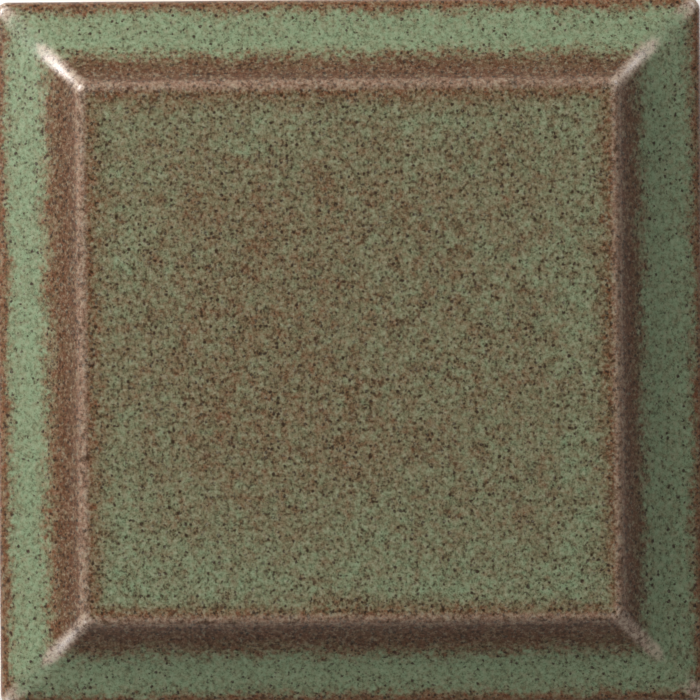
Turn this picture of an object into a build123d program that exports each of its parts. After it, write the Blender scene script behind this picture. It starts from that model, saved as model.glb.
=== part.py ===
from build123d import *

import os
from math import cos, radians, sin, tan

# Stove tile: one pressed and fired piece of glazed clay.
# It lies on the rim of its collar with the glazed face up. The origin is at the middle of the rim's plane.
# +Z points out of the face, +Y is the tile's top edge and +X its right edge when it is set in a stove.
# The leaf is the square plate with the face. Its border slopes up from the joint faces, then a hollow cove and
# a rounded brow lead to a raised square panel. The collar is the box-shaped wall behind the leaf that the
# clamps and the clay hold.

# Leaf, in millimetres
face_side = 220.0  # joint face to joint face
face_corner_radius = 4.0  # upright edge between two joint faces
edge_radius = 3.0  # rounded edge between the border and a joint face
leaf_thickness = 12.0  # back to where the border's slope meets the plane of a joint face
back_chamfer = 1.5  # between a joint face and the leaf's back

# Border and raised panel
border_width = 11.0  # joint face to the start of the cove
border_angle = 21.0  # slope of the border, in degrees
cove_radius = 38.6  # hollow lower part of the slope
brow_radius = 3.0  # rounded upper part of the slope
steepest_angle = 48.0  # slope where the cove and the brow meet, in degrees
panel_ridge_radius = 2.2  # mitre ridge, seen from the front, at the panel's corner
foot_ridge_radius = 6.0  # mitre ridge where the cove leaves the border
arc_steps = 4  # steps that shape each of the section's arcs

# Collar
collar_height = 40.0  # rim to the leaf's back
ledge_width = 9.0  # joint face to the collar's root
collar_corner_radius = 18.0  # outside corner at the root
collar_draft = 2.0  # outside, in degrees: narrower at the rim
rim_wall = 8.5  # wall thickness at the rim
chamber_corner_radius = 12.0  # inside corner at the rim
chamber_draft = 3.0  # inside, in degrees: narrower at the leaf
rim_rounding = 1.5
collar_root_radius = 3.0  # where the collar meets the ledge
chamber_root_radius = 6.0  # where the chamber's wall meets the leaf

# Hollow behind the panel, which keeps the wall even
pocket_inset = 13.0  # panel's edge to the hollow's floor, seen from the front
pocket_corner_radius = 6.0  # at the floor
pocket_slope = 25.0  # degrees from upright
pocket_rounding = 4.0

# The section is a rounded edge, the straight border, the cove and the brow, each on the next one's tangent
border_turn = radians(border_angle)
steepest_turn = radians(steepest_angle)
border_rise = border_width * tan(border_turn)
edge_drop = edge_radius * tan((radians(90) - border_turn) / 2)  # down the joint face to the edge's rounding
cove_width = cove_radius * (sin(steepest_turn) - sin(border_turn))
cove_rise = cove_radius * (cos(border_turn) - cos(steepest_turn))
slope_width = cove_width + brow_radius * sin(steepest_turn)
panel_rise = border_rise + cove_rise + brow_radius * (1 - cos(steepest_turn))
panel_inset = border_width + slope_width
panel_side = face_side - 2 * panel_inset

# Levels above the rim
leaf_back = collar_height
border_level = leaf_back + leaf_thickness
pocket_floor = leaf_back + panel_rise
level_tolerance = 0.01  # for picking the faces at a level

# Sizes that follow from the driving ones
collar_side = face_side - 2 * ledge_width
rim_side = collar_side - 2 * collar_height * tan(radians(collar_draft))
chamber_rim_side = rim_side - 2 * rim_wall
pocket_floor_side = panel_side - 2 * pocket_inset


def face_section(inset, rise, corner_radius):
    """Level, side and corner radius of the face's outline at a point in from the joint face and up."""
    return border_level + rise, face_side - 2 * inset, corner_radius


def ridge_radius(inset):
    """Corner radius of the outline between the start of the cove and the panel."""
    return foot_ridge_radius + (panel_ridge_radius - foot_ridge_radius) * (inset - border_width) / slope_width


edge_sections = []
cove_sections = []
brow_sections = []
for step in range(arc_steps + 1):
    turn = radians(90) - (radians(90) - border_turn) * step / arc_steps
    edge_inset = edge_radius * (1 - sin(turn))
    edge_sections.append(face_section(edge_inset, edge_radius * cos(turn) - edge_drop, face_corner_radius))
    turn = border_turn + (steepest_turn - border_turn) * step / arc_steps
    cove_inset = border_width + cove_radius * (sin(turn) - sin(border_turn))
    cove_point_rise = border_rise + cove_radius * (cos(border_turn) - cos(turn))
    cove_sections.append(face_section(cove_inset, cove_point_rise, ridge_radius(cove_inset)))
    turn = steepest_turn * (1 - step / arc_steps)
    brow_inset = panel_inset - brow_radius * sin(turn)
    brow_point_rise = panel_rise - brow_radius * (1 - cos(turn))
    brow_sections.append(face_section(brow_inset, brow_point_rise, ridge_radius(brow_inset)))

with BuildPart() as stove_tile:
    # Leaf, up to where the edge's rounding starts
    with BuildSketch(Plane.XY.offset(leaf_back)):
        RectangleRounded(face_side, face_side, face_corner_radius)
    extrude(amount=leaf_thickness - edge_drop)
    chamfer(stove_tile.faces().sort_by(Axis.Z)[0].edges(), back_chamfer)

    # Rounded edge, from the joint faces over to the border's slope
    for level, side, corner_radius in edge_sections:
        with BuildSketch(Plane.XY.offset(level)):
            RectangleRounded(side, side, corner_radius)
    loft()

    # Border
    for level, side, corner_radius in (edge_sections[-1], cove_sections[0]):
        with BuildSketch(Plane.XY.offset(level)):
            RectangleRounded(side, side, corner_radius)
    loft()

    # Cove, from the border up to where it meets the brow
    for level, side, corner_radius in cove_sections:
        with BuildSketch(Plane.XY.offset(level)):
            RectangleRounded(side, side, corner_radius)
    loft()

    # Brow, from the cove up to the panel
    for level, side, corner_radius in brow_sections:
        with BuildSketch(Plane.XY.offset(level)):
            RectangleRounded(side, side, corner_radius)
    loft()

    # Collar, drawn down from the leaf's back
    with BuildSketch(Plane.XY.offset(leaf_back)):
        RectangleRounded(collar_side, collar_side, collar_corner_radius)
    extrude(amount=-collar_height, taper=collar_draft)
    ledge = stove_tile.faces().filter_by_position(Axis.Z, leaf_back - level_tolerance, leaf_back + level_tolerance)
    fillet(ledge[0].inner_wires()[0].edges(), collar_root_radius)

    # Chamber, open at the rim, with the leaf's back as its roof
    with BuildSketch(Plane.XY):
        RectangleRounded(chamber_rim_side, chamber_rim_side, chamber_corner_radius)
    extrude(amount=collar_height, taper=chamber_draft, mode=Mode.SUBTRACT)
    roof = stove_tile.faces().sort_by_distance((0, 0, leaf_back))[0]
    fillet(roof.edges(), chamber_root_radius)
    fillet(stove_tile.faces().sort_by(Axis.Z)[0].edges(), rim_rounding)

    # Hollow behind the panel, cut down from its floor to the roof of the chamber
    with BuildSketch(Plane.XY.offset(pocket_floor)):
        RectangleRounded(pocket_floor_side, pocket_floor_side, pocket_corner_radius)
    extrude(amount=-panel_rise, taper=-pocket_slope, mode=Mode.SUBTRACT)
    fillet(stove_tile.faces().sort_by_distance((0, 0, pocket_floor))[0].edges(), pocket_rounding)
    roof = stove_tile.faces().filter_by_position(Axis.Z, leaf_back - level_tolerance, leaf_back + level_tolerance)
    fillet(roof.sort_by_distance((0, 0, leaf_back))[0].inner_wires()[0].edges(), pocket_rounding)

stove_tile.part.label = "stove_tile"
os.makedirs("parts", exist_ok=True)
export_step(stove_tile.part, "parts/stove_tile.step")
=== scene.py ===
"""Stove tile: the fired clay with its satin green glaze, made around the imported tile.

The tile's section is drawn from its sizes and turned round its square plan by Geometry Nodes. The glaze is
green where it lies thick and breaks to brown where it runs thin, on edges, ridges and slopes.
"""

from math import atan, ceil, cos, pi, radians, sin, tan

import bpy
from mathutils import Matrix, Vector


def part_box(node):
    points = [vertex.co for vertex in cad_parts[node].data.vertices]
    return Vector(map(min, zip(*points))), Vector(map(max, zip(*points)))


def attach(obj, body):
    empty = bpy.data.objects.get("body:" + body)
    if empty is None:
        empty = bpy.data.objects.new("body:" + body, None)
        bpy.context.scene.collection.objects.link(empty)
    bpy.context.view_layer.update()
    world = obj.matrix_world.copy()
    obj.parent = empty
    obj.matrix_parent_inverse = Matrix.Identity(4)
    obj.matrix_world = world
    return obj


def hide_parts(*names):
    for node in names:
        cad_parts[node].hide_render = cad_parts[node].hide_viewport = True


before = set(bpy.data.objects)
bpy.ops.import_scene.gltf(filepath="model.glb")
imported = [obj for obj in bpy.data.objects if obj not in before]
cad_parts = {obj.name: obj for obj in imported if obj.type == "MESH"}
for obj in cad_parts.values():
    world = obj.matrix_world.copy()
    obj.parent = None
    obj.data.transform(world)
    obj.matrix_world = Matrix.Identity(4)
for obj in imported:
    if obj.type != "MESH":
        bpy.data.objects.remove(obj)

bl_info = {
    "name": "Stove Tile",
    "version": (1, 0, 0),
    "blender": (4, 5, 0),
    "location": "3D View > Sidebar > Stove Tile",
    "description": "Makes a glazed stove tile with a raised panel, and a plain stage to show it on",
    "category": "Add Mesh",
}

MM = 0.001
PHOTO_PIXELS = 700
TILE_NODE = "stove_tile"
TILE_LOW, TILE_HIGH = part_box(TILE_NODE)
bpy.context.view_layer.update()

# Widest gaps between the rings of the mesh, and steps of each ring along a side and round a corner
CENTRE_RING = 0.4 * MM
PANEL_GAP = 2.2 * MM
BROW_GAP = 0.5 * MM
BORDER_GAP = 0.8 * MM
JOINT_FACE_GAP = 0.5 * MM
LEDGE_GAP = 1.5 * MM
BACK_GAP = 3.0 * MM
HOLLOW_GAP = 6.0 * MM
BROW_MARGIN = 2.0 * MM
ARC_TURN = radians(5.0)
ARC_GAP = 1.0 * MM
FEWEST_ARC_STEPS = 3
SIDE_STEPS = 84
CORNER_STEPS = 10
SIDE_CROWDING = 0.5
MERGE_DISTANCE = 0.02 * MM

# The tile's surface strays from flat above these heights. The glaze ends in a step only this near to the
# joint faces.
FLOOR_CLEARANCE = (0.5 * MM, 4.0 * MM)
GLAZE_STEP_REACH = (2.0 * MM, 6.0 * MM)

# Edge of the glaze on the joint faces
GLAZE_END_WAVE_LENGTH = 6.0  # in heights of the wave
GLAZE_END_SOFTNESS = 0.3 * MM

# How brown the glaze breaks, from 0 to 1, by the distance in from the joint face in millimetres: on the
# outer edge, then up the cove, over the brow and in across the panel
BREAK_ACROSS_FACE = (
    (0.0, 0.95), (2.2, 0.88), (3.6, 0.50), (5.5, 0.18), (11.0, 0.10), (13.0, 0.20), (15.0, 0.50),
    (17.5, 0.84), (21.0, 0.96), (27.0, 0.94), (30.0, 0.82), (33.5, 0.60), (37.0, 0.46), (44.0, 0.50),
    (60.0, 0.60))

# Distances in from the joint face between which something starts, and for a band, then those where it ends
PANEL_START = (26.4 * MM, 29.4 * MM)
MOTTLES_START = (28.0 * MM, 34.0 * MM)
RAGGED_END = (20.0 * MM, 40.0 * MM)
CORNER_END = (3.0 * MM, 7.0 * MM)
RUN_BAND = (7.0 * MM, 12.0 * MM, 21.0 * MM, 27.0 * MM)
SHADE_BAND = (14.0 * MM, 21.0 * MM, 24.0 * MM, 27.4 * MM)
MITRE_BAND = (12.0 * MM, 15.0 * MM, 27.5 * MM, 29.5 * MM)
BROW_BAND = (24.8 * MM, 26.6 * MM, 27.6 * MM, 29.6 * MM)

# Mitres, and where the sides meet: distances from the diagonal
MITRE_END = (1.4 * MM, 4.6 * MM)
SIDE_SOFTNESS = 3.0 * MM
# Pale ridge colour on the mitres and the brow: partly the paler thin glaze there, partly a painted highlight
# where the light catches the ridges
MITRE_PALE_AND_HIGHLIGHT = 0.72
BROW_PALE_AND_HIGHLIGHT = 0.32
PALE_AND_HIGHLIGHT_LEVEL = 0.8
PALE_AND_HIGHLIGHT_GRAIN = 1.2

# The panel is greener towards its bottom and its right side, by the distance from the middle
BOTTOM_GREEN_START = (20.0 * MM, 90.0 * MM)
BOTTOM_GREEN = 0.18
RIGHT_GREEN_START = (-10.0 * MM, 80.0 * MM)
RIGHT_GREEN = 0.08
BORDER_MOTTLES = 0.35  # against 1 on the panel
PANEL_STIPPLE = 0.25  # against 1 off the panel

# Sizes of the markings, across one lump
RAGGED_SIZE = 9.0 * MM
PATCH_SIZE = 30.0 * MM
MOTTLE_SIZE = 4.2 * MM
STIPPLE_SIZE = 1.3 * MM
BLOTCH_SIZE = 2.6 * MM
PEEL_SIZE = 3.2 * MM
SPECK_EDGE_SIZE = 0.7 * MM

# Specks: how much of the glaze's colour they cover, and the small ones against the large ones
SPECK_COVER = 0.95
SMALL_SPECK_COVER = 0.7
SMALL_SPECK_SPACING = 0.62
SMALL_SPECK_SIZE = 0.8
SMALL_SPECK_SHARE = 0.05
THIN_SPECK_SHARE = 0.85  # more of them where the glaze is thin
SPECK_CHOICE = (-0.02, 0.02)
SPECK_GIRTH = 0.6
SPECK_RAGGED = 0.8
SPECK_REACH = 1.35
SPECK_SOFTNESS = 0.6

# Blotches and grain
BLOTCH_LEVELS = (0.02, 0.42)
THICK_BLOTCHES = 0.1  # against 1 where the glaze is thin
PANEL_GRAIN = 0.35  # more than off the panel
PALE_GRAIN = 0.4  # against the dark grain
GRAIN_ROUGHNESS = 0.12
THIN_ROUGHNESS = 0.04
GLAZE_IOR = 1.5

# Bare clay
CLOUD_SIZE = 22.0 * MM
CLAY_GRAIN_SIZE = 0.9 * MM
CLAY_GRAIN_COLOUR = 0.35
CLAY_GRAIN_DEPTH = 0.05  # in millimetres
CLAY_GRAIN_ROUGHNESS = 0.1
GROG_SPACING = 1.7 * MM
GROG_EDGE = (0.16, 0.30)
PALE_GROG_CHOICE = (0.74, 0.78)
DARK_GROG_CHOICE = (0.12, 0.16)
DARK_GROG_COVER = 0.7
PIT_SIZE = 2.6 * MM
PIT_LEVELS = (0.18, 0.36)
PIT_DEPTH = 0.12  # in millimetres
CLAY_ROUGHNESS = 0.88
CLAY_IOR = 1.4

# Stage
UPPER_RIGHT_BEARING = radians(45.0)
LOWER_LEFT_BEARING = radians(225.0)
FLOOR_ROUGHNESS = 0.9


def length(name, description, millimetres):
    """A length that a user can change, with its default in millimetres."""
    return bpy.props.FloatProperty(
        name=name, description=description, default=millimetres * MM, min=0.0, unit="LENGTH", precision=5)


def angle(name, description, degrees):
    """An angle that a user can change, with its default in degrees."""
    return bpy.props.FloatProperty(
        name=name, description=description, default=radians(degrees), unit="ROTATION")


def number(name, description, default, high=1.0):
    """A plain number that a user can change."""
    return bpy.props.FloatProperty(name=name, description=description, default=default, min=0.0, max=high)


def colour(name, description, red, green, blue):
    """A colour that a user can change, given as it shows on a screen, from 0 to 255."""
    return bpy.props.FloatVectorProperty(
        name=name, description=description, subtype="COLOR", size=3, min=0.0, max=1.0,
        default=[screen_to_light(level / 255) for level in (red, green, blue)])


def screen_to_light(level):
    """The amount of light that a screen level from 0 to 1 stands for."""
    return level / 12.92 if level <= 0.04045 else ((level + 0.055) / 1.055) ** 2.4


class StoveTileShape(bpy.types.PropertyGroup):
    """The tile's sizes."""

    face_corner_radius: length("Face Corner", "Upright edge between two joint faces", 4.0)
    edge_radius: length("Edge", "Rounding between the border and a joint face", 3.0)
    leaf_thickness: length("Leaf", "Back to where the border's slope meets a joint face", 12.0)
    back_chamfer: length("Back Chamfer", "Between a joint face and the leaf's back", 1.5)
    border_width: length("Border", "Joint face to the start of the cove", 11.0)
    border_angle: angle("Border Slope", "How far the border slopes up from the joint face", 21.0)
    cove_radius: length("Cove", "Hollow lower part of the slope", 38.6)
    brow_radius: length("Brow", "Rounded upper part of the slope", 3.0)
    steepest_angle: angle("Slope", "Where the cove and the brow meet", 48.0)
    panel_ridge_radius: length("Ridge at Panel", "Mitre ridge at the panel's corner, in plan", 2.2)
    foot_ridge_radius: length("Ridge at Foot", "Mitre ridge where the cove leaves the border, in plan", 6.0)
    collar_height: length("Collar", "Rim to the leaf's back", 40.0)
    ledge_width: length("Ledge", "Joint face to the collar's root", 9.0)
    collar_corner_radius: length("Collar Corner", "Outside corner at the collar's root", 18.0)
    collar_draft: angle("Collar Draft", "Outside, narrower at the rim", 2.0)
    rim_wall: length("Rim Wall", "Wall thickness at the rim", 8.5)
    chamber_corner_radius: length("Chamber Corner", "Inside corner at the rim", 12.0)
    chamber_draft: angle("Chamber Draft", "Inside, narrower at the leaf", 3.0)
    rim_rounding: length("Rim Rounding", "Both edges of the rim", 1.5)
    collar_root_radius: length("Collar Root", "Where the collar meets the ledge", 3.0)
    chamber_root_radius: length("Chamber Root", "Where the chamber's wall meets the leaf", 6.0)
    pocket_inset: length("Hollow Inset", "Panel's edge to the hollow's floor", 13.0)
    pocket_corner_radius: length("Hollow Corner", "The hollow's corners at its floor", 6.0)
    pocket_slope: angle("Hollow Slope", "The hollow's sides, from upright", 25.0)
    pocket_rounding: length("Hollow Rounding", "Both edges of the hollow's sides", 4.0)


class StoveTileFinish(bpy.types.PropertyGroup):
    """The glaze and the clay."""

    green: colour("Green", "Glaze where it lies thick", 119, 138, 105)
    brown: colour("Brown", "Glaze where it is thin", 112, 69, 42)
    # The ridge colour is partly the paler thin glaze and partly a painted highlight and glint on the brow,
    # the mitres and the outer corners
    ridge: colour("Ridges", "Glaze where it is thinnest, on the brow and the mitres", 190, 168, 150)
    slope_shade: number("Slope Shade", "How much darker the brown is on the slopes", 0.33)
    speck: colour("Specks", "Dark specks in the glaze", 42, 22, 6)
    blotch: colour("Blotches", "Ragged dark red-brown blotches where the glaze is thin", 64, 36, 20)
    blotches: number("Blotch Strength", "How strong the dark blotches are", 0.8)
    speck_size: length("Speck Size", "Across a large speck", 0.9)
    speck_spacing: length("Speck Spacing", "Between the places where specks can be", 1.7)
    speck_share: number("Speck Share", "Share of the places with a speck where the glaze is thick", 0.12)
    patches: number("Patches", "How much green and brown change from patch to patch", 0.15)
    mottles: number("Mottles", "How much green and brown change in fine mottles", 0.8, 4.0)
    stipple: number("Stipple", "How much green and brown are stippled where they meet", 0.9, 4.0)
    ragged: length("Ragged", "How far the line between green and brown strays", 5.0)
    run_right: length("Run Right", "How much further up the right-hand slope the green reaches", 4.2)
    run_top: length("Run Top", "How much further up the top slope the green reaches", 2.2)
    run_bottom: length("Run Bottom", "How much further up the bottom slope the green reaches", 1.4)
    glaze_roughness: number("Glaze Roughness", "Satin sheen of the glaze", 0.36)
    grain_size: length("Grain Size", "Coarsest of the fine grain in the glaze", 1.3)
    grain_depth: length("Grain Depth", "Height of the fine grain", 0.04)
    grain_dark: colour("Dark Grain", "What the fine grain darkens the glaze to", 46, 32, 4)
    grain_pale: colour("Pale Grain", "What the fine grain lightens the glaze to", 180, 180, 152)
    grain_colour: number("Grain Colour", "How much the fine grain lightens and darkens the glaze", 2.1, 4.0)
    peel_depth: length("Peel Depth", "Height of the glaze's soft ripple", 0.012)
    glaze_end: length("Glaze End", "How far above the leaf's back the glaze ends on the joint faces", 4.5)
    glaze_end_waves: length("Glaze End Waves", "How far that line strays", 1.2)
    glaze_thickness: length("Glaze Thickness", "Step from the glaze to the bare clay", 0.3)
    unevenness: length("Unevenness", "How far the fired faces stray from flat", 0.12)
    unevenness_size: length("Unevenness Size", "Across one such wave", 45.0)
    ripple: length("Ripple", "Height of the ripple in the glaze", 0.03)
    ripple_size: length("Ripple Size", "Across one ripple", 9.0)
    clay: colour("Clay", "Fired clay", 190, 160, 128)
    clay_dark: colour("Dark Clay", "Darker clouds and grains in the clay", 150, 116, 88)
    grog: colour("Grog", "Pale grains in the clay", 222, 208, 186)
    seed: bpy.props.FloatProperty(name="Seed", description="Another seed moves the waves", default=3.0)


class TileStage(bpy.types.PropertyGroup):
    """The camera, the lights and the floor."""

    tile_pixels: number("Tile Pixels", "How wide the tile is in the photo, in pixels", 705.5, 2000.0)
    tile_centre: bpy.props.FloatVectorProperty(
        name="Tile Centre", description="The tile's middle in the photo, in pixels across and down", size=2,
        default=(350.3, 352.0))
    roll: angle("Roll", "How far the tile is turned in the photo, to the left", 0.5)
    camera_height: length("Camera Height", "Above the outer edge of the tile's border", 2000.0)
    key_bearing: angle("Key Bearing", "Direction of the key light, from the tile's right", 141.0)
    key_height: angle("Key Height", "Angle of the key light above the floor", 26.5)
    key_size: length("Key Size", "Side of the key light", 300.0)
    key_power: number("Key Power", "In watts", 13.5, 500.0)
    side_height: angle("Side Height", "Angle of the two weak lights above the floor", 26.0)
    side_size: length("Side Size", "Side of each weak light", 200.0)
    upper_right_power: number("Upper Right Power", "In watts", 3.5, 500.0)
    lower_left_power: number("Lower Left Power", "In watts", 3.8, 500.0)
    light_distance: length("Light Distance", "From the middle of the panel to each light", 1100.0)
    room_light: number("Room Light", "Even light from all around", 0.22)
    floor_colour: colour("Floor", "Pale floor", 240, 239, 237)
    floor_reach: length("Floor Reach", "From the tile's middle to the floor's edge", 1500.0)


class Bend:
    """One corner of the tile's section: half the side, the level and the plan's corner radius there."""

    def __init__(self, half, level, corner, rounding=0.0, growth=1.0, gap=BACK_GAP):
        self.place = Vector((half, level))
        self.corner = corner
        self.rounding = rounding
        self.growth = growth  # how much the plan's corner radius grows for each metre of half side
        self.gap = gap  # widest spacing of the rings between this bend and the next


def section_bends(shape):
    """The tile's section from the middle of the panel round to the middle of the hollow behind it."""
    face = TILE_HIGH.x
    top = TILE_HIGH.z
    leaf_back = shape.collar_height
    edge = leaf_back + shape.leaf_thickness
    slant = shape.border_angle
    steep = shape.steepest_angle
    cove_reach = shape.cove_radius * tan((steep - slant) / 2)
    foot = face - shape.border_width - cove_reach * cos(slant)
    foot_level = edge + (face - foot) * tan(slant)
    brow = foot - (top - foot_level) / tan(steep)
    brow_reach = shape.brow_radius * tan(steep / 2)
    panel = brow - brow_reach
    ridge_growth = (shape.foot_ridge_radius - shape.panel_ridge_radius) / (face - shape.border_width - panel)
    ridge_at_brow = shape.panel_ridge_radius + ridge_growth * brow_reach
    ridge_at_foot = shape.foot_ridge_radius - ridge_growth * cove_reach * cos(slant)
    edge_corner = shape.face_corner_radius
    collar = face - shape.ledge_width
    rim_inset = shape.collar_height * tan(shape.collar_draft)
    chamber = collar - rim_inset - shape.rim_wall
    roof_inset = shape.collar_height * tan(shape.chamber_draft)
    pocket = panel - shape.pocket_inset
    pocket_floor = leaf_back + top - edge
    pocket_spread = (pocket_floor - leaf_back) * tan(shape.pocket_slope)
    pocket_corner = shape.pocket_corner_radius
    return [
        Bend(0.0, top, 0.0, gap=CENTRE_RING),
        Bend(CENTRE_RING, top, 0.0, gap=PANEL_GAP),
        Bend(panel - BROW_MARGIN, top, shape.panel_ridge_radius, gap=BROW_GAP),
        Bend(brow, top, ridge_at_brow, shape.brow_radius, ridge_growth),
        Bend(foot, foot_level, ridge_at_foot, shape.cove_radius, ridge_growth, gap=BORDER_GAP),
        Bend(face, edge, edge_corner, shape.edge_radius, growth=0.0, gap=JOINT_FACE_GAP),
        Bend(face, leaf_back + shape.back_chamfer, edge_corner, gap=JOINT_FACE_GAP),
        Bend(face - shape.back_chamfer, leaf_back, edge_corner - shape.back_chamfer, gap=LEDGE_GAP),
        Bend(collar, leaf_back, shape.collar_corner_radius, shape.collar_root_radius),
        Bend(collar - rim_inset, 0.0, shape.collar_corner_radius - rim_inset, shape.rim_rounding),
        Bend(chamber, 0.0, shape.chamber_corner_radius, shape.rim_rounding),
        Bend(chamber - roof_inset, leaf_back, shape.chamber_corner_radius - roof_inset,
             shape.chamber_root_radius),
        Bend(pocket + pocket_spread, leaf_back, pocket_corner + pocket_spread, shape.pocket_rounding),
        Bend(pocket, pocket_floor, pocket_corner, shape.pocket_rounding, gap=HOLLOW_GAP),
        Bend(CENTRE_RING, pocket_floor, 0.0, gap=CENTRE_RING),
        Bend(0.0, pocket_floor, 0.0),
    ]


def section_points(bends):
    """Points of the section with its corners rounded, each as half side, level and plan corner radius."""
    points = []
    for before, bend, after in zip([None] + bends[:-1], bends, bends[1:] + [None]):
        if before is None or after is None or bend.rounding == 0.0:
            arc = [(bend.place, bend.corner)]
        else:
            arc = rounded_bend(before.place, bend, after.place)
        if points:
            start, start_corner = points[-1]
            end, end_corner = arc[0]
            steps = max(1, ceil((end - start).length / before.gap))
            for step in range(1, steps):
                part = step / steps
                points.append((start.lerp(end, part), start_corner + (end_corner - start_corner) * part))
        points.extend(arc)
    return points


def rounded_bend(before, bend, after):
    """Points of the arc that rounds one bend."""
    back = (before - bend.place).normalized()
    onward = (after - bend.place).normalized()
    half_opening = back.angle(onward) / 2
    turn = pi - 2 * half_opening
    reach = bend.rounding / tan(half_opening)
    middle = bend.place + (back + onward).normalized() * (bend.rounding / sin(half_opening))
    first = bend.place + back * reach - middle
    last = bend.place + onward * reach - middle
    steps = max(FEWEST_ARC_STEPS, ceil(turn / ARC_TURN), ceil(turn * bend.rounding / ARC_GAP))
    arc = []
    for step in range(steps + 1):
        part = step / steps
        spoke = first * (sin((1 - part) * turn) / sin(turn)) + last * (sin(part * turn) / sin(turn))
        place = middle + spoke
        arc.append((place, max(0.0, bend.corner + (place.x - bend.place.x) * bend.growth)))
    return arc


class Wire:
    """A node's output socket, so that sums on values can be written as Python expressions."""

    def __init__(self, nodes, socket):
        self.nodes = nodes
        self.socket = socket

    def maths(self, operation, *values):
        """A Math node that starts from this value."""
        return self.nodes.add("ShaderNodeMath", dict(enumerate((self,) + values)), operation=operation)

    def __add__(self, other):
        return self.maths("ADD", other)

    def __radd__(self, other):
        return self.maths("ADD", other)

    def __sub__(self, other):
        return self.maths("SUBTRACT", other)

    def __rsub__(self, other):
        return self.nodes.add("ShaderNodeMath", {0: other, 1: self}, operation="SUBTRACT")

    def __mul__(self, other):
        return self.maths("MULTIPLY", other)

    def __rmul__(self, other):
        return self.maths("MULTIPLY", other)

    def __truediv__(self, other):
        return self.maths("DIVIDE", other)

    def __rtruediv__(self, other):
        return self.nodes.add("ShaderNodeMath", {0: other, 1: self}, operation="DIVIDE")

    def __abs__(self):
        return self.maths("ABSOLUTE")

    def also(self, output):
        """Another output of the same node."""
        return Wire(self.nodes, self.nodes.socket(self.socket.node.outputs, output))


class Nodes:
    """Adds nodes to one tree, for a material or for Geometry Nodes."""

    def __init__(self, tree):
        self.tree = tree

    def add(self, kind, inputs=None, output=0, **settings):
        """A node of a type, its settings, then its inputs by name or number as values or wires.

        A colour ramp's stops are pairs of a place and a grey level.
        """
        node = self.tree.nodes.new(kind)
        stops = settings.pop("stops", None)
        for name, value in settings.items():
            setattr(node, name, value)
        if stops:
            ramp = node.color_ramp.elements
            while len(ramp) < len(stops):
                ramp.new(1.0)
            for element, (place, shade) in zip(ramp, stops):
                element.position = place
                element.color = (shade, shade, shade, 1.0)
        for key, value in (inputs or {}).items():
            self.feed(self.socket(node.inputs, key), value)
        return Wire(self, self.socket(node.outputs, output))

    def socket(self, sockets, key):
        """The socket with a name, or with a number among those in use."""
        in_use = [socket for socket in sockets if socket.enabled]
        if isinstance(key, int):
            return in_use[key]
        return next(socket for socket in in_use if socket.name == key)

    def feed(self, socket, value):
        """Links a wire to a socket, or sets the socket's value."""
        if isinstance(value, Wire):
            self.tree.links.new(value.socket, socket)
        elif socket.type == "RGBA" and len(value) == 3:
            socket.default_value = (*value, 1.0)
        else:
            socket.default_value = value


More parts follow.
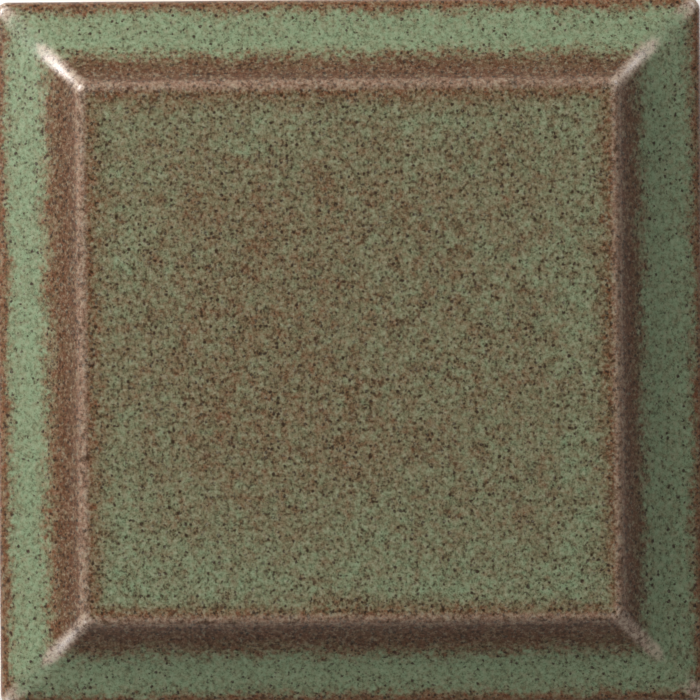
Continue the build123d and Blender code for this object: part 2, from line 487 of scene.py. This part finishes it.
def lathe_tree():
    """Geometry Nodes that turn a section round a square plan with rounded corners, as one closed mesh.

    Each point of the section becomes a ring. The ring runs along one side and round one corner, and a
    quarter turn gives the next side.
    """
    tree = bpy.data.node_groups.new("square_lathe", "GeometryNodeTree")
    tree.interface.new_socket("Section", in_out="INPUT", socket_type="NodeSocketGeometry")
    for name, kind in (("Side Steps", "Int"), ("Corner Steps", "Int"), ("Side Crowding", "Float"),
                       ("Unevenness", "Float"), ("Unevenness Size", "Float"), ("Ripple", "Float"),
                       ("Ripple Size", "Float"), ("Glaze Thickness", "Float"), ("Glaze End", "Float"),
                       ("Glaze End Waves", "Float"), ("Seed", "Float"), ("Material", "Material")):
        tree.interface.new_socket(name, in_out="INPUT", socket_type="NodeSocket" + kind)
    tree.interface.new_socket("Tile", in_out="OUTPUT", socket_type="NodeSocketGeometry")
    nodes = Nodes(tree)
    group = tree.nodes.new("NodeGroupInput")

    def given(name):
        return Wire(nodes, group.outputs[name])

    section = given("Section")
    side_steps = given("Side Steps")
    corner_steps = given("Corner Steps")
    quarter_steps = side_steps + corner_steps
    ring_places = quarter_steps * 4 + 1
    rings = nodes.add("GeometryNodeAttributeDomainSize", {"Geometry": section}, "Point Count",
                      component="MESH")
    grid = nodes.add("GeometryNodeMeshGrid", {"Vertices X": rings, "Vertices Y": ring_places}, "Mesh")

    index = nodes.add("GeometryNodeInputIndex")
    ring = (index / ring_places).maths("FLOOR")
    place = index - ring * ring_places
    section_place = sampled(nodes, section, nodes.add("GeometryNodeInputPosition"), ring, "FLOAT_VECTOR")
    corner = sampled(nodes, section, named_attribute(nodes, "corner"), ring, "FLOAT")
    half = separated(nodes, section_place, "X")
    level = separated(nodes, section_place, "Z")

    quarter = (place / quarter_steps).maths("FLOOR")
    step = place - quarter * quarter_steps
    along = (step / side_steps).maths("MINIMUM", 1.0)
    crowded = 0.5 - (along * pi).maths("COSINE") * 0.5
    along = along + (crowded - along) * given("Side Crowding")
    around = ((step - side_steps) / corner_steps).maths("MAXIMUM", 0.0) * (pi / 2)
    straight = half - corner
    across = straight + corner * around.maths("COSINE")
    onward = straight * (along * 2.0 - 1.0) + corner * around.maths("SINE")
    on_side = nodes.add("ShaderNodeCombineXYZ", {"X": across, "Y": onward, "Z": level})
    turned = nodes.add("ShaderNodeVectorRotate", {"Vector": on_side, "Angle": quarter * (pi / 2)},
                       rotation_type="Z_AXIS")
    skin = nodes.add("GeometryNodeSetPosition", {"Geometry": grid, "Position": turned})
    skin = nodes.add("GeometryNodeMergeByDistance", {"Geometry": skin, "Distance": MERGE_DISTANCE})

    seed = given("Seed")
    uneven = noise_field(nodes, given("Unevenness Size"), seed, detail=2.0) * given("Unevenness")
    ripple = noise_field(nodes, given("Ripple Size"), seed + 7.0, detail=1.0) * given("Ripple")
    here = nodes.add("GeometryNodeInputPosition")
    glazed = glaze_mask(nodes, given("Glaze End"), given("Glaze End Waves"), seed, here)
    off_floor = stepped(nodes, separated(nodes, here, "Z"), *FLOOR_CLEARANCE)
    on_joint_face = 1.0 - stepped(nodes, distance_in(nodes, here), *GLAZE_STEP_REACH)
    bare = (glazed - 1.0) * given("Glaze Thickness") * on_joint_face
    move = (uneven + ripple * glazed + bare) * off_floor
    outward = nodes.add("ShaderNodeVectorMath", {0: nodes.add("GeometryNodeInputNormal"), "Scale": move},
                        operation="SCALE")
    skin = nodes.add("GeometryNodeSetPosition", {"Geometry": skin, "Offset": outward})
    skin = nodes.add("GeometryNodeSetShadeSmooth", {"Geometry": skin})
    skin = nodes.add("GeometryNodeRealizeInstances", {"Geometry": skin})
    skin = nodes.add("GeometryNodeSetMaterial", {"Geometry": skin, "Material": given("Material")})
    end = tree.nodes.new("NodeGroupOutput")
    tree.links.new(skin.socket, end.inputs["Tile"])
    return tree


def sampled(nodes, geometry, value, index, kind):
    """A value of one point of a geometry, by its number."""
    return nodes.add("GeometryNodeSampleIndex", {"Geometry": geometry, "Value": value, "Index": index},
                     data_type=kind, domain="POINT")


def named_attribute(nodes, name):
    """A number that the geometry carries under a name."""
    return nodes.add("GeometryNodeInputNamedAttribute", {"Name": name}, data_type="FLOAT")


def separated(nodes, vector, axis):
    """One number of a vector."""
    return nodes.add("ShaderNodeSeparateXYZ", {0: vector}, axis)


def stepped(nodes, value, low, high):
    """0 below low, 1 above high, and a smooth step between them."""
    return nodes.add("ShaderNodeMapRange", {"Value": value, "From Min": low, "From Max": high},
                     interpolation_type="SMOOTHSTEP")


def band(nodes, value, start, whole, fading, end):
    """1 between whole and fading, 0 before start and after end, and smooth steps between them."""
    return stepped(nodes, value, start, whole) * (1.0 - stepped(nodes, value, fading, end))


def clamped(nodes, value):
    """The value, kept between 0 and 1."""
    return nodes.add("ShaderNodeMath", {0: value, 1: 0.0}, operation="ADD", use_clamp=True)


def distance_in(nodes, place):
    """How far a place is in from the nearest joint face."""
    wide = abs(separated(nodes, place, "X"))
    high = abs(separated(nodes, place, "Y"))
    return TILE_HIGH.x - wide.maths("MAXIMUM", high)


def noise_field(nodes, size, seed, detail, roughness=0.5, place=None):
    """Smooth noise about 0 with lumps of a size in metres, at a place, or else at each point's own place."""
    inputs = {"W": seed, "Scale": 1.0 / size, "Detail": detail, "Roughness": roughness}
    if place is not None:
        inputs["Vector"] = place
    noise = nodes.add("ShaderNodeTexNoise", inputs, noise_dimensions="4D")
    return (noise - 0.5) * 2.0


def glaze_mask(nodes, end, waves, seed, place):
    """1 where the tile is glazed, and 0 below the wavy line where the glaze ends on the joint faces."""
    wave = noise_field(nodes, waves * GLAZE_END_WAVE_LENGTH, seed + 13.0, detail=2.0, place=place)
    height = separated(nodes, place, "Z") - end - wave * waves
    return stepped(nodes, height, -GLAZE_END_SOFTNESS, GLAZE_END_SOFTNESS)


def section_mesh(shape):
    """The section as a row of joined points that carry the plan's corner radius."""
    points = section_points(section_bends(shape))
    mesh = bpy.data.meshes.new("tile_section")
    mesh.from_pydata([(place.x, 0.0, place.y) for place, _ in points],
                     [(start, start + 1) for start in range(len(points) - 1)], [])
    corners = mesh.attributes.new("corner", "FLOAT", "POINT")
    corners.data.foreach_set("value", [corner for _, corner in points])
    return mesh


def set_input(modifier, name, value):
    """Sets one of a Geometry Nodes modifier's inputs by its name in the tree."""
    for item in modifier.node_group.interface.items_tree:
        if item.item_type == "SOCKET" and item.in_out == "INPUT" and item.name == name:
            modifier[item.identifier] = value
            return
    raise KeyError(name)


def made_mesh(source, name):
    """The mesh that an object's modifiers make, as an object of its own. The source is removed."""
    bpy.context.view_layer.update()
    depsgraph = bpy.context.evaluated_depsgraph_get()
    mesh = bpy.data.meshes.new_from_object(source.evaluated_get(depsgraph))
    mesh.name = name
    bpy.data.objects.remove(source)
    made = bpy.data.objects.new(name, mesh)
    bpy.context.collection.objects.link(made)
    return made


def fired_tile_material(looks, shape):
    """Satin glaze over coarse fired clay, as one material, because the two are one piece."""
    material = bpy.data.materials.new("fired_tile")
    material.use_nodes = True
    material.node_tree.nodes.clear()
    nodes = Nodes(material.node_tree)
    place = nodes.add("ShaderNodeTexCoord", output="Object")
    glaze_end = shape.collar_height + looks.glaze_end
    glazed = glaze_mask(nodes, glaze_end, looks.glaze_end_waves, looks.seed, place)
    surface = nodes.add("ShaderNodeMixShader", {
        "Fac": glazed, 1: fired_clay(nodes, looks, place), 2: satin_glaze(nodes, looks, place)})
    nodes.tree.links.new(surface.socket, nodes.tree.nodes.new("ShaderNodeOutputMaterial").inputs["Surface"])
    return material


def satin_glaze(nodes, looks, place):
    """Sage green glaze that breaks to brown where it is thin, with dark specks and a fine silky grain."""
    thin = glaze_break(nodes, looks, place)
    inward = distance_in(nodes, place)
    colour = mixed(nodes, thin, looks.green, looks.brown)
    shade = band(nodes, inward, *SHADE_BAND) * thin * looks.slope_shade
    colour = brightened(nodes, colour, 1.0 - shade)

    ragged = noise_field(nodes, SPECK_EDGE_SIZE, seed=37.0, detail=1.0, place=place)
    dots = specks(nodes, looks.speck_spacing, looks.speck_size, looks.speck_share, thin, ragged, place)
    colour = mixed(nodes, dots * SPECK_COVER, colour, looks.speck)
    dots = specks(nodes, looks.speck_spacing * SMALL_SPECK_SPACING, looks.speck_size * SMALL_SPECK_SIZE,
                  SMALL_SPECK_SHARE, thin, ragged, place)
    colour = mixed(nodes, dots * SMALL_SPECK_COVER, colour, looks.speck)

    grain = noise_field(nodes, looks.grain_size, seed=31.0, detail=3.0, roughness=0.9, place=place)
    # Pale ridge colour on the brow, the mitres and the outer corners: partly the paler thin glaze, partly a
    # painted highlight
    pale_and_highlight = thin_glaze_and_highlight_mask(nodes, inward, place) * (PALE_AND_HIGHLIGHT_LEVEL + grain * PALE_AND_HIGHLIGHT_GRAIN)
    colour = mixed(nodes, clamped(nodes, pale_and_highlight), colour, looks.ridge)
    blotch = noise_field(nodes, BLOTCH_SIZE, seed=43.0, detail=2.0, roughness=0.8, place=place)
    dark = stepped(nodes, blotch, *BLOTCH_LEVELS) * (thin * (1.0 - THICK_BLOTCHES) + THICK_BLOTCHES)
    colour = mixed(nodes, dark * looks.blotches, colour, looks.blotch)
    strength = (stepped(nodes, inward, *PANEL_START) * PANEL_GRAIN + 1.0) * looks.grain_colour
    colour = mixed(nodes, clamped(nodes, 0.0 - grain * strength), colour, looks.grain_dark)
    colour = mixed(nodes, clamped(nodes, grain * strength * PALE_GRAIN), colour, looks.grain_pale)

    peel = noise_field(nodes, PEEL_SIZE, seed=41.0, detail=1.0, place=place)
    height = grain * looks.grain_depth + peel * looks.peel_depth
    return nodes.add("ShaderNodeBsdfPrincipled", {
        "Base Color": colour, "IOR": GLAZE_IOR,
        "Roughness": looks.glaze_roughness + grain * GRAIN_ROUGHNESS - thin * THIN_ROUGHNESS,
        "Normal": nodes.add("ShaderNodeBump", {"Height": height / MM, "Distance": MM})})


def thin_glaze_and_highlight_mask(nodes, inward, place):
    """Where the glaze is thinnest and where a highlight is painted: along the brow, on the mitre ridges and
    on the tile's outer corners.
    """
    off_mitre = abs(abs(separated(nodes, place, "X")) - abs(separated(nodes, place, "Y")))
    mitre = 1.0 - stepped(nodes, off_mitre, *MITRE_END)
    on_corner = 1.0 - stepped(nodes, inward, *CORNER_END)
    mitre = mitre * (band(nodes, inward, *MITRE_BAND) + on_corner)
    return (mitre * MITRE_PALE_AND_HIGHLIGHT).maths("MAXIMUM", band(nodes, inward, *BROW_BAND) * BROW_PALE_AND_HIGHLIGHT)


def glaze_break(nodes, looks, place):
    """How brown the glaze is, from 0 to 1: by its place across the face, in patches and in fine mottles."""
    across = separated(nodes, place, "X")
    upward = separated(nodes, place, "Y")
    inward = distance_in(nodes, place)
    right = stepped(nodes, across - abs(upward), -SIDE_SOFTNESS, SIDE_SOFTNESS) * looks.run_right
    top = stepped(nodes, upward - abs(across), -SIDE_SOFTNESS, SIDE_SOFTNESS) * looks.run_top
    bottom = stepped(nodes, 0.0 - upward - abs(across), -SIDE_SOFTNESS, SIDE_SOFTNESS) * looks.run_bottom
    ragged = noise_field(nodes, RAGGED_SIZE, seed=3.0, detail=4.0, roughness=0.8, place=place)
    ragged = ragged * looks.ragged * (1.0 - stepped(nodes, inward, *RAGGED_END))
    inward = inward - (right + top + bottom) * band(nodes, inward, *RUN_BAND) + ragged
    span = BREAK_ACROSS_FACE[-1][0]
    profile = nodes.add("ShaderNodeValToRGB", {"Fac": inward / (span * MM)},
                        stops=[(reach / span, level) for reach, level in BREAK_ACROSS_FACE])

    on_panel = stepped(nodes, inward, *MOTTLES_START)
    patches = noise_field(nodes, PATCH_SIZE, seed=11.0, detail=1.0, place=place) * looks.patches
    mottles = noise_field(nodes, MOTTLE_SIZE, seed=17.0, detail=3.0, roughness=0.85, place=place)
    mottles = mottles * looks.mottles * (BORDER_MOTTLES + on_panel * (1.0 - BORDER_MOTTLES))
    mixing = profile * (1.0 - profile) * 4.0
    stipple = noise_field(nodes, STIPPLE_SIZE, seed=19.0, detail=1.0, place=place) * looks.stipple
    stipple = stipple * mixing * (1.0 - on_panel * (1.0 - PANEL_STIPPLE))
    greener = stepped(nodes, 0.0 - upward, *BOTTOM_GREEN_START) * BOTTOM_GREEN
    greener = greener + stepped(nodes, across, *RIGHT_GREEN_START) * RIGHT_GREEN
    return clamped(nodes, profile + mottles + stipple + (patches - greener) * on_panel)


def specks(nodes, spacing, size, portion, thin, ragged, place):
    """Dark specks with ragged outlines, one in some of the cells, more of them where the glaze is thin."""
    distance = nodes.add("ShaderNodeTexVoronoi", {"Vector": place, "Scale": 1.0 / spacing}, "Distance")
    chance = separated_colour(nodes, distance.also("Color"), "Red")
    girth = separated_colour(nodes, distance.also("Color"), "Green")
    there = stepped(nodes, chance - (1.0 - portion - thin * THIN_SPECK_SHARE), *SPECK_CHOICE)
    half_size = size / 2 / spacing
    radius = (SPECK_GIRTH * (1.0 + girth) + ragged * SPECK_RAGGED) * half_size
    inside = (radius * SPECK_REACH - distance) / (half_size * SPECK_SOFTNESS)
    return clamped(nodes, inside * there)


def fired_clay(nodes, looks, place):
    """Coarse fired clay with grog in it, pitted and dusty."""
    cloud = noise_field(nodes, CLOUD_SIZE, seed=51.0, detail=3.0, roughness=0.6, place=place)
    colour = mixed(nodes, (cloud + 1.0) / 2.0, looks.clay, looks.clay_dark)
    grog = nodes.add("ShaderNodeTexVoronoi", {"Vector": place, "Scale": 1.0 / GROG_SPACING}, "Distance")
    kind = separated_colour(nodes, grog.also("Color"), "Red")
    lump = 1.0 - stepped(nodes, grog, *GROG_EDGE)
    colour = mixed(nodes, lump * stepped(nodes, kind, *PALE_GROG_CHOICE), colour, looks.grog)
    dark = lump * (1.0 - stepped(nodes, kind, *DARK_GROG_CHOICE)) * DARK_GROG_COVER
    colour = mixed(nodes, dark, colour, looks.clay_dark)
    grain = noise_field(nodes, CLAY_GRAIN_SIZE, seed=57.0, detail=3.0, roughness=0.7, place=place)
    colour = brightened(nodes, colour, 1.0 + grain * CLAY_GRAIN_COLOUR)
    pits = noise_field(nodes, PIT_SIZE, seed=61.0, detail=2.0, roughness=0.6, place=place)
    height = grain * CLAY_GRAIN_DEPTH - stepped(nodes, pits, *PIT_LEVELS) * PIT_DEPTH
    return nodes.add("ShaderNodeBsdfPrincipled", {
        "Base Color": colour, "Roughness": CLAY_ROUGHNESS + grain * CLAY_GRAIN_ROUGHNESS, "IOR": CLAY_IOR,
        "Normal": nodes.add("ShaderNodeBump", {"Height": height, "Distance": MM})})


def mixed(nodes, share, first, second):
    """A colour between two, by a share from 0 to 1."""
    return nodes.add("ShaderNodeMix", {"Factor": share, "A": first, "B": second}, "Result", data_type="RGBA")


def brightened(nodes, colour, level):
    """A colour times a number."""
    return nodes.add("ShaderNodeVectorMath", {0: colour, "Scale": level}, operation="SCALE")


def separated_colour(nodes, colour, channel):
    """One channel of a colour."""
    return nodes.add("ShaderNodeSeparateColor", {0: colour}, channel)


class OBJECT_OT_stove_tile(bpy.types.Operator):
    """Make the glazed stove tile"""

    bl_idname = "object.stove_tile_add"
    bl_label = "Stove Tile"

    def execute(self, context):
        shape = context.scene.stove_tile_shape
        looks = context.scene.stove_tile_finish
        source = bpy.data.objects.new("tile_section", section_mesh(shape))
        context.collection.objects.link(source)
        modifier = source.modifiers.new("square_lathe", "NODES")
        modifier.node_group = lathe_tree()
        for name, value in (("Side Steps", SIDE_STEPS), ("Corner Steps", CORNER_STEPS),
                            ("Side Crowding", SIDE_CROWDING),
                            ("Unevenness", looks.unevenness), ("Unevenness Size", looks.unevenness_size),
                            ("Ripple", looks.ripple), ("Ripple Size", looks.ripple_size),
                            ("Glaze Thickness", looks.glaze_thickness),
                            ("Glaze End", shape.collar_height + looks.glaze_end),
                            ("Glaze End Waves", looks.glaze_end_waves), ("Seed", looks.seed),
                            ("Material", fired_tile_material(looks, shape))):
            set_input(modifier, name, value)
        tile = made_mesh(source, "glazed_tile")
        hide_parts(TILE_NODE)
        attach(tile, "root")
        return {"FINISHED"}


class SCENE_OT_tile_stage(bpy.types.Operator):
    """Make the floor, the lights and the camera"""

    bl_idname = "scene.tile_stage_add"
    bl_label = "Stage"

    def execute(self, context):
        stage = context.scene.tile_stage
        make_floor(stage)
        make_camera(context.scene, stage)
        for name, bearing, height, size, power in (
                ("key_light", stage.key_bearing, stage.key_height, stage.key_size, stage.key_power),
                ("upper_right_light", UPPER_RIGHT_BEARING, stage.side_height, stage.side_size,
                 stage.upper_right_power),
                ("lower_left_light", LOWER_LEFT_BEARING, stage.side_height, stage.side_size,
                 stage.lower_left_power)):
            make_light(name, bearing, height, stage.light_distance, size, power)
        world = bpy.data.worlds.new("studio")
        world.use_nodes = True
        background = world.node_tree.nodes["Background"]
        background.inputs["Color"].default_value = (1.0, 1.0, 1.0, 1.0)
        background.inputs["Strength"].default_value = stage.room_light
        context.scene.world = world
        context.scene.view_settings.view_transform = "Standard"
        return {"FINISHED"}


def make_floor(stage):
    """A pale matt floor under the tile."""
    reach = stage.floor_reach
    mesh = bpy.data.meshes.new("floor")
    mesh.from_pydata([(-reach, -reach, 0), (reach, -reach, 0), (reach, reach, 0), (-reach, reach, 0)],
                     [], [(0, 1, 2, 3)])
    material = bpy.data.materials.new("floor_white")
    material.use_nodes = True
    surface = material.node_tree.nodes["Principled BSDF"]
    surface.inputs["Base Color"].default_value = (*stage.floor_colour, 1.0)
    surface.inputs["Roughness"].default_value = FLOOR_ROUGHNESS
    mesh.materials.append(material)
    floor = bpy.data.objects.new("floor", mesh)
    bpy.context.collection.objects.link(floor)


def make_camera(scene, stage):
    """A camera straight above the tile, turned a little, that shows the face as wide as in the photo."""
    lens = bpy.data.cameras.new("camera")
    camera = bpy.data.objects.new("camera", lens)
    scene.collection.objects.link(camera)
    border_level = TILE_LOW.z + scene.stove_tile_shape.collar_height + scene.stove_tile_shape.leaf_thickness
    metres_per_pixel = 2 * TILE_HIGH.x / stage.tile_pixels
    across, down = stage.tile_centre
    middle = PHOTO_PIXELS / 2
    camera.location = ((middle - across) * metres_per_pixel, (down - middle) * metres_per_pixel,
                       border_level + stage.camera_height)
    camera.rotation_euler = (0.0, 0.0, -stage.roll)
    lens.lens = lens.sensor_width * stage.camera_height / (PHOTO_PIXELS * metres_per_pixel)
    scene.camera = camera


def make_light(name, bearing, height, distance, size, power):
    """A square soft light that faces the tile, by its bearing from +X and its angle above the floor."""
    lamp = bpy.data.lights.new(name, "AREA")
    lamp.energy = power
    lamp.size = size
    light = bpy.data.objects.new(name, lamp)
    bpy.context.collection.objects.link(light)
    towards = Vector((cos(bearing) * cos(height), sin(bearing) * cos(height), sin(height)))
    light.location = Vector((0.0, 0.0, TILE_HIGH.z)) + towards * distance
    light.rotation_euler = towards.to_track_quat("Z", "Y").to_euler()


class VIEW3D_PT_stove_tile(bpy.types.Panel):
    """The tile, its finish and its stage"""

    bl_label = "Stove Tile"
    bl_space_type = "VIEW_3D"
    bl_region_type = "UI"
    bl_category = "Stove Tile"

    def draw(self, context):
        for heading, settings, operator in (
                ("Shape", context.scene.stove_tile_shape, None),
                ("Glaze and Clay", context.scene.stove_tile_finish, OBJECT_OT_stove_tile.bl_idname),
                ("Stage", context.scene.tile_stage, SCENE_OT_tile_stage.bl_idname)):
            box = self.layout.box()
            box.label(text=heading)
            for name in settings.__annotations__:
                box.prop(settings, name)
            if operator:
                box.operator(operator)


CLASSES = (StoveTileShape, StoveTileFinish, TileStage, OBJECT_OT_stove_tile, SCENE_OT_tile_stage,
           VIEW3D_PT_stove_tile)


def register():
    for each in CLASSES:
        bpy.utils.register_class(each)
    bpy.types.Scene.stove_tile_shape = bpy.props.PointerProperty(type=StoveTileShape)
    bpy.types.Scene.stove_tile_finish = bpy.props.PointerProperty(type=StoveTileFinish)
    bpy.types.Scene.tile_stage = bpy.props.PointerProperty(type=TileStage)


def unregister():
    del bpy.types.Scene.tile_stage
    del bpy.types.Scene.stove_tile_finish
    del bpy.types.Scene.stove_tile_shape
    for each in reversed(CLASSES):
        bpy.utils.unregister_class(each)


def main():
    register()
    bpy.ops.object.stove_tile_add()
    bpy.ops.scene.tile_stage_add()


if __name__ == "__main__":
    main()
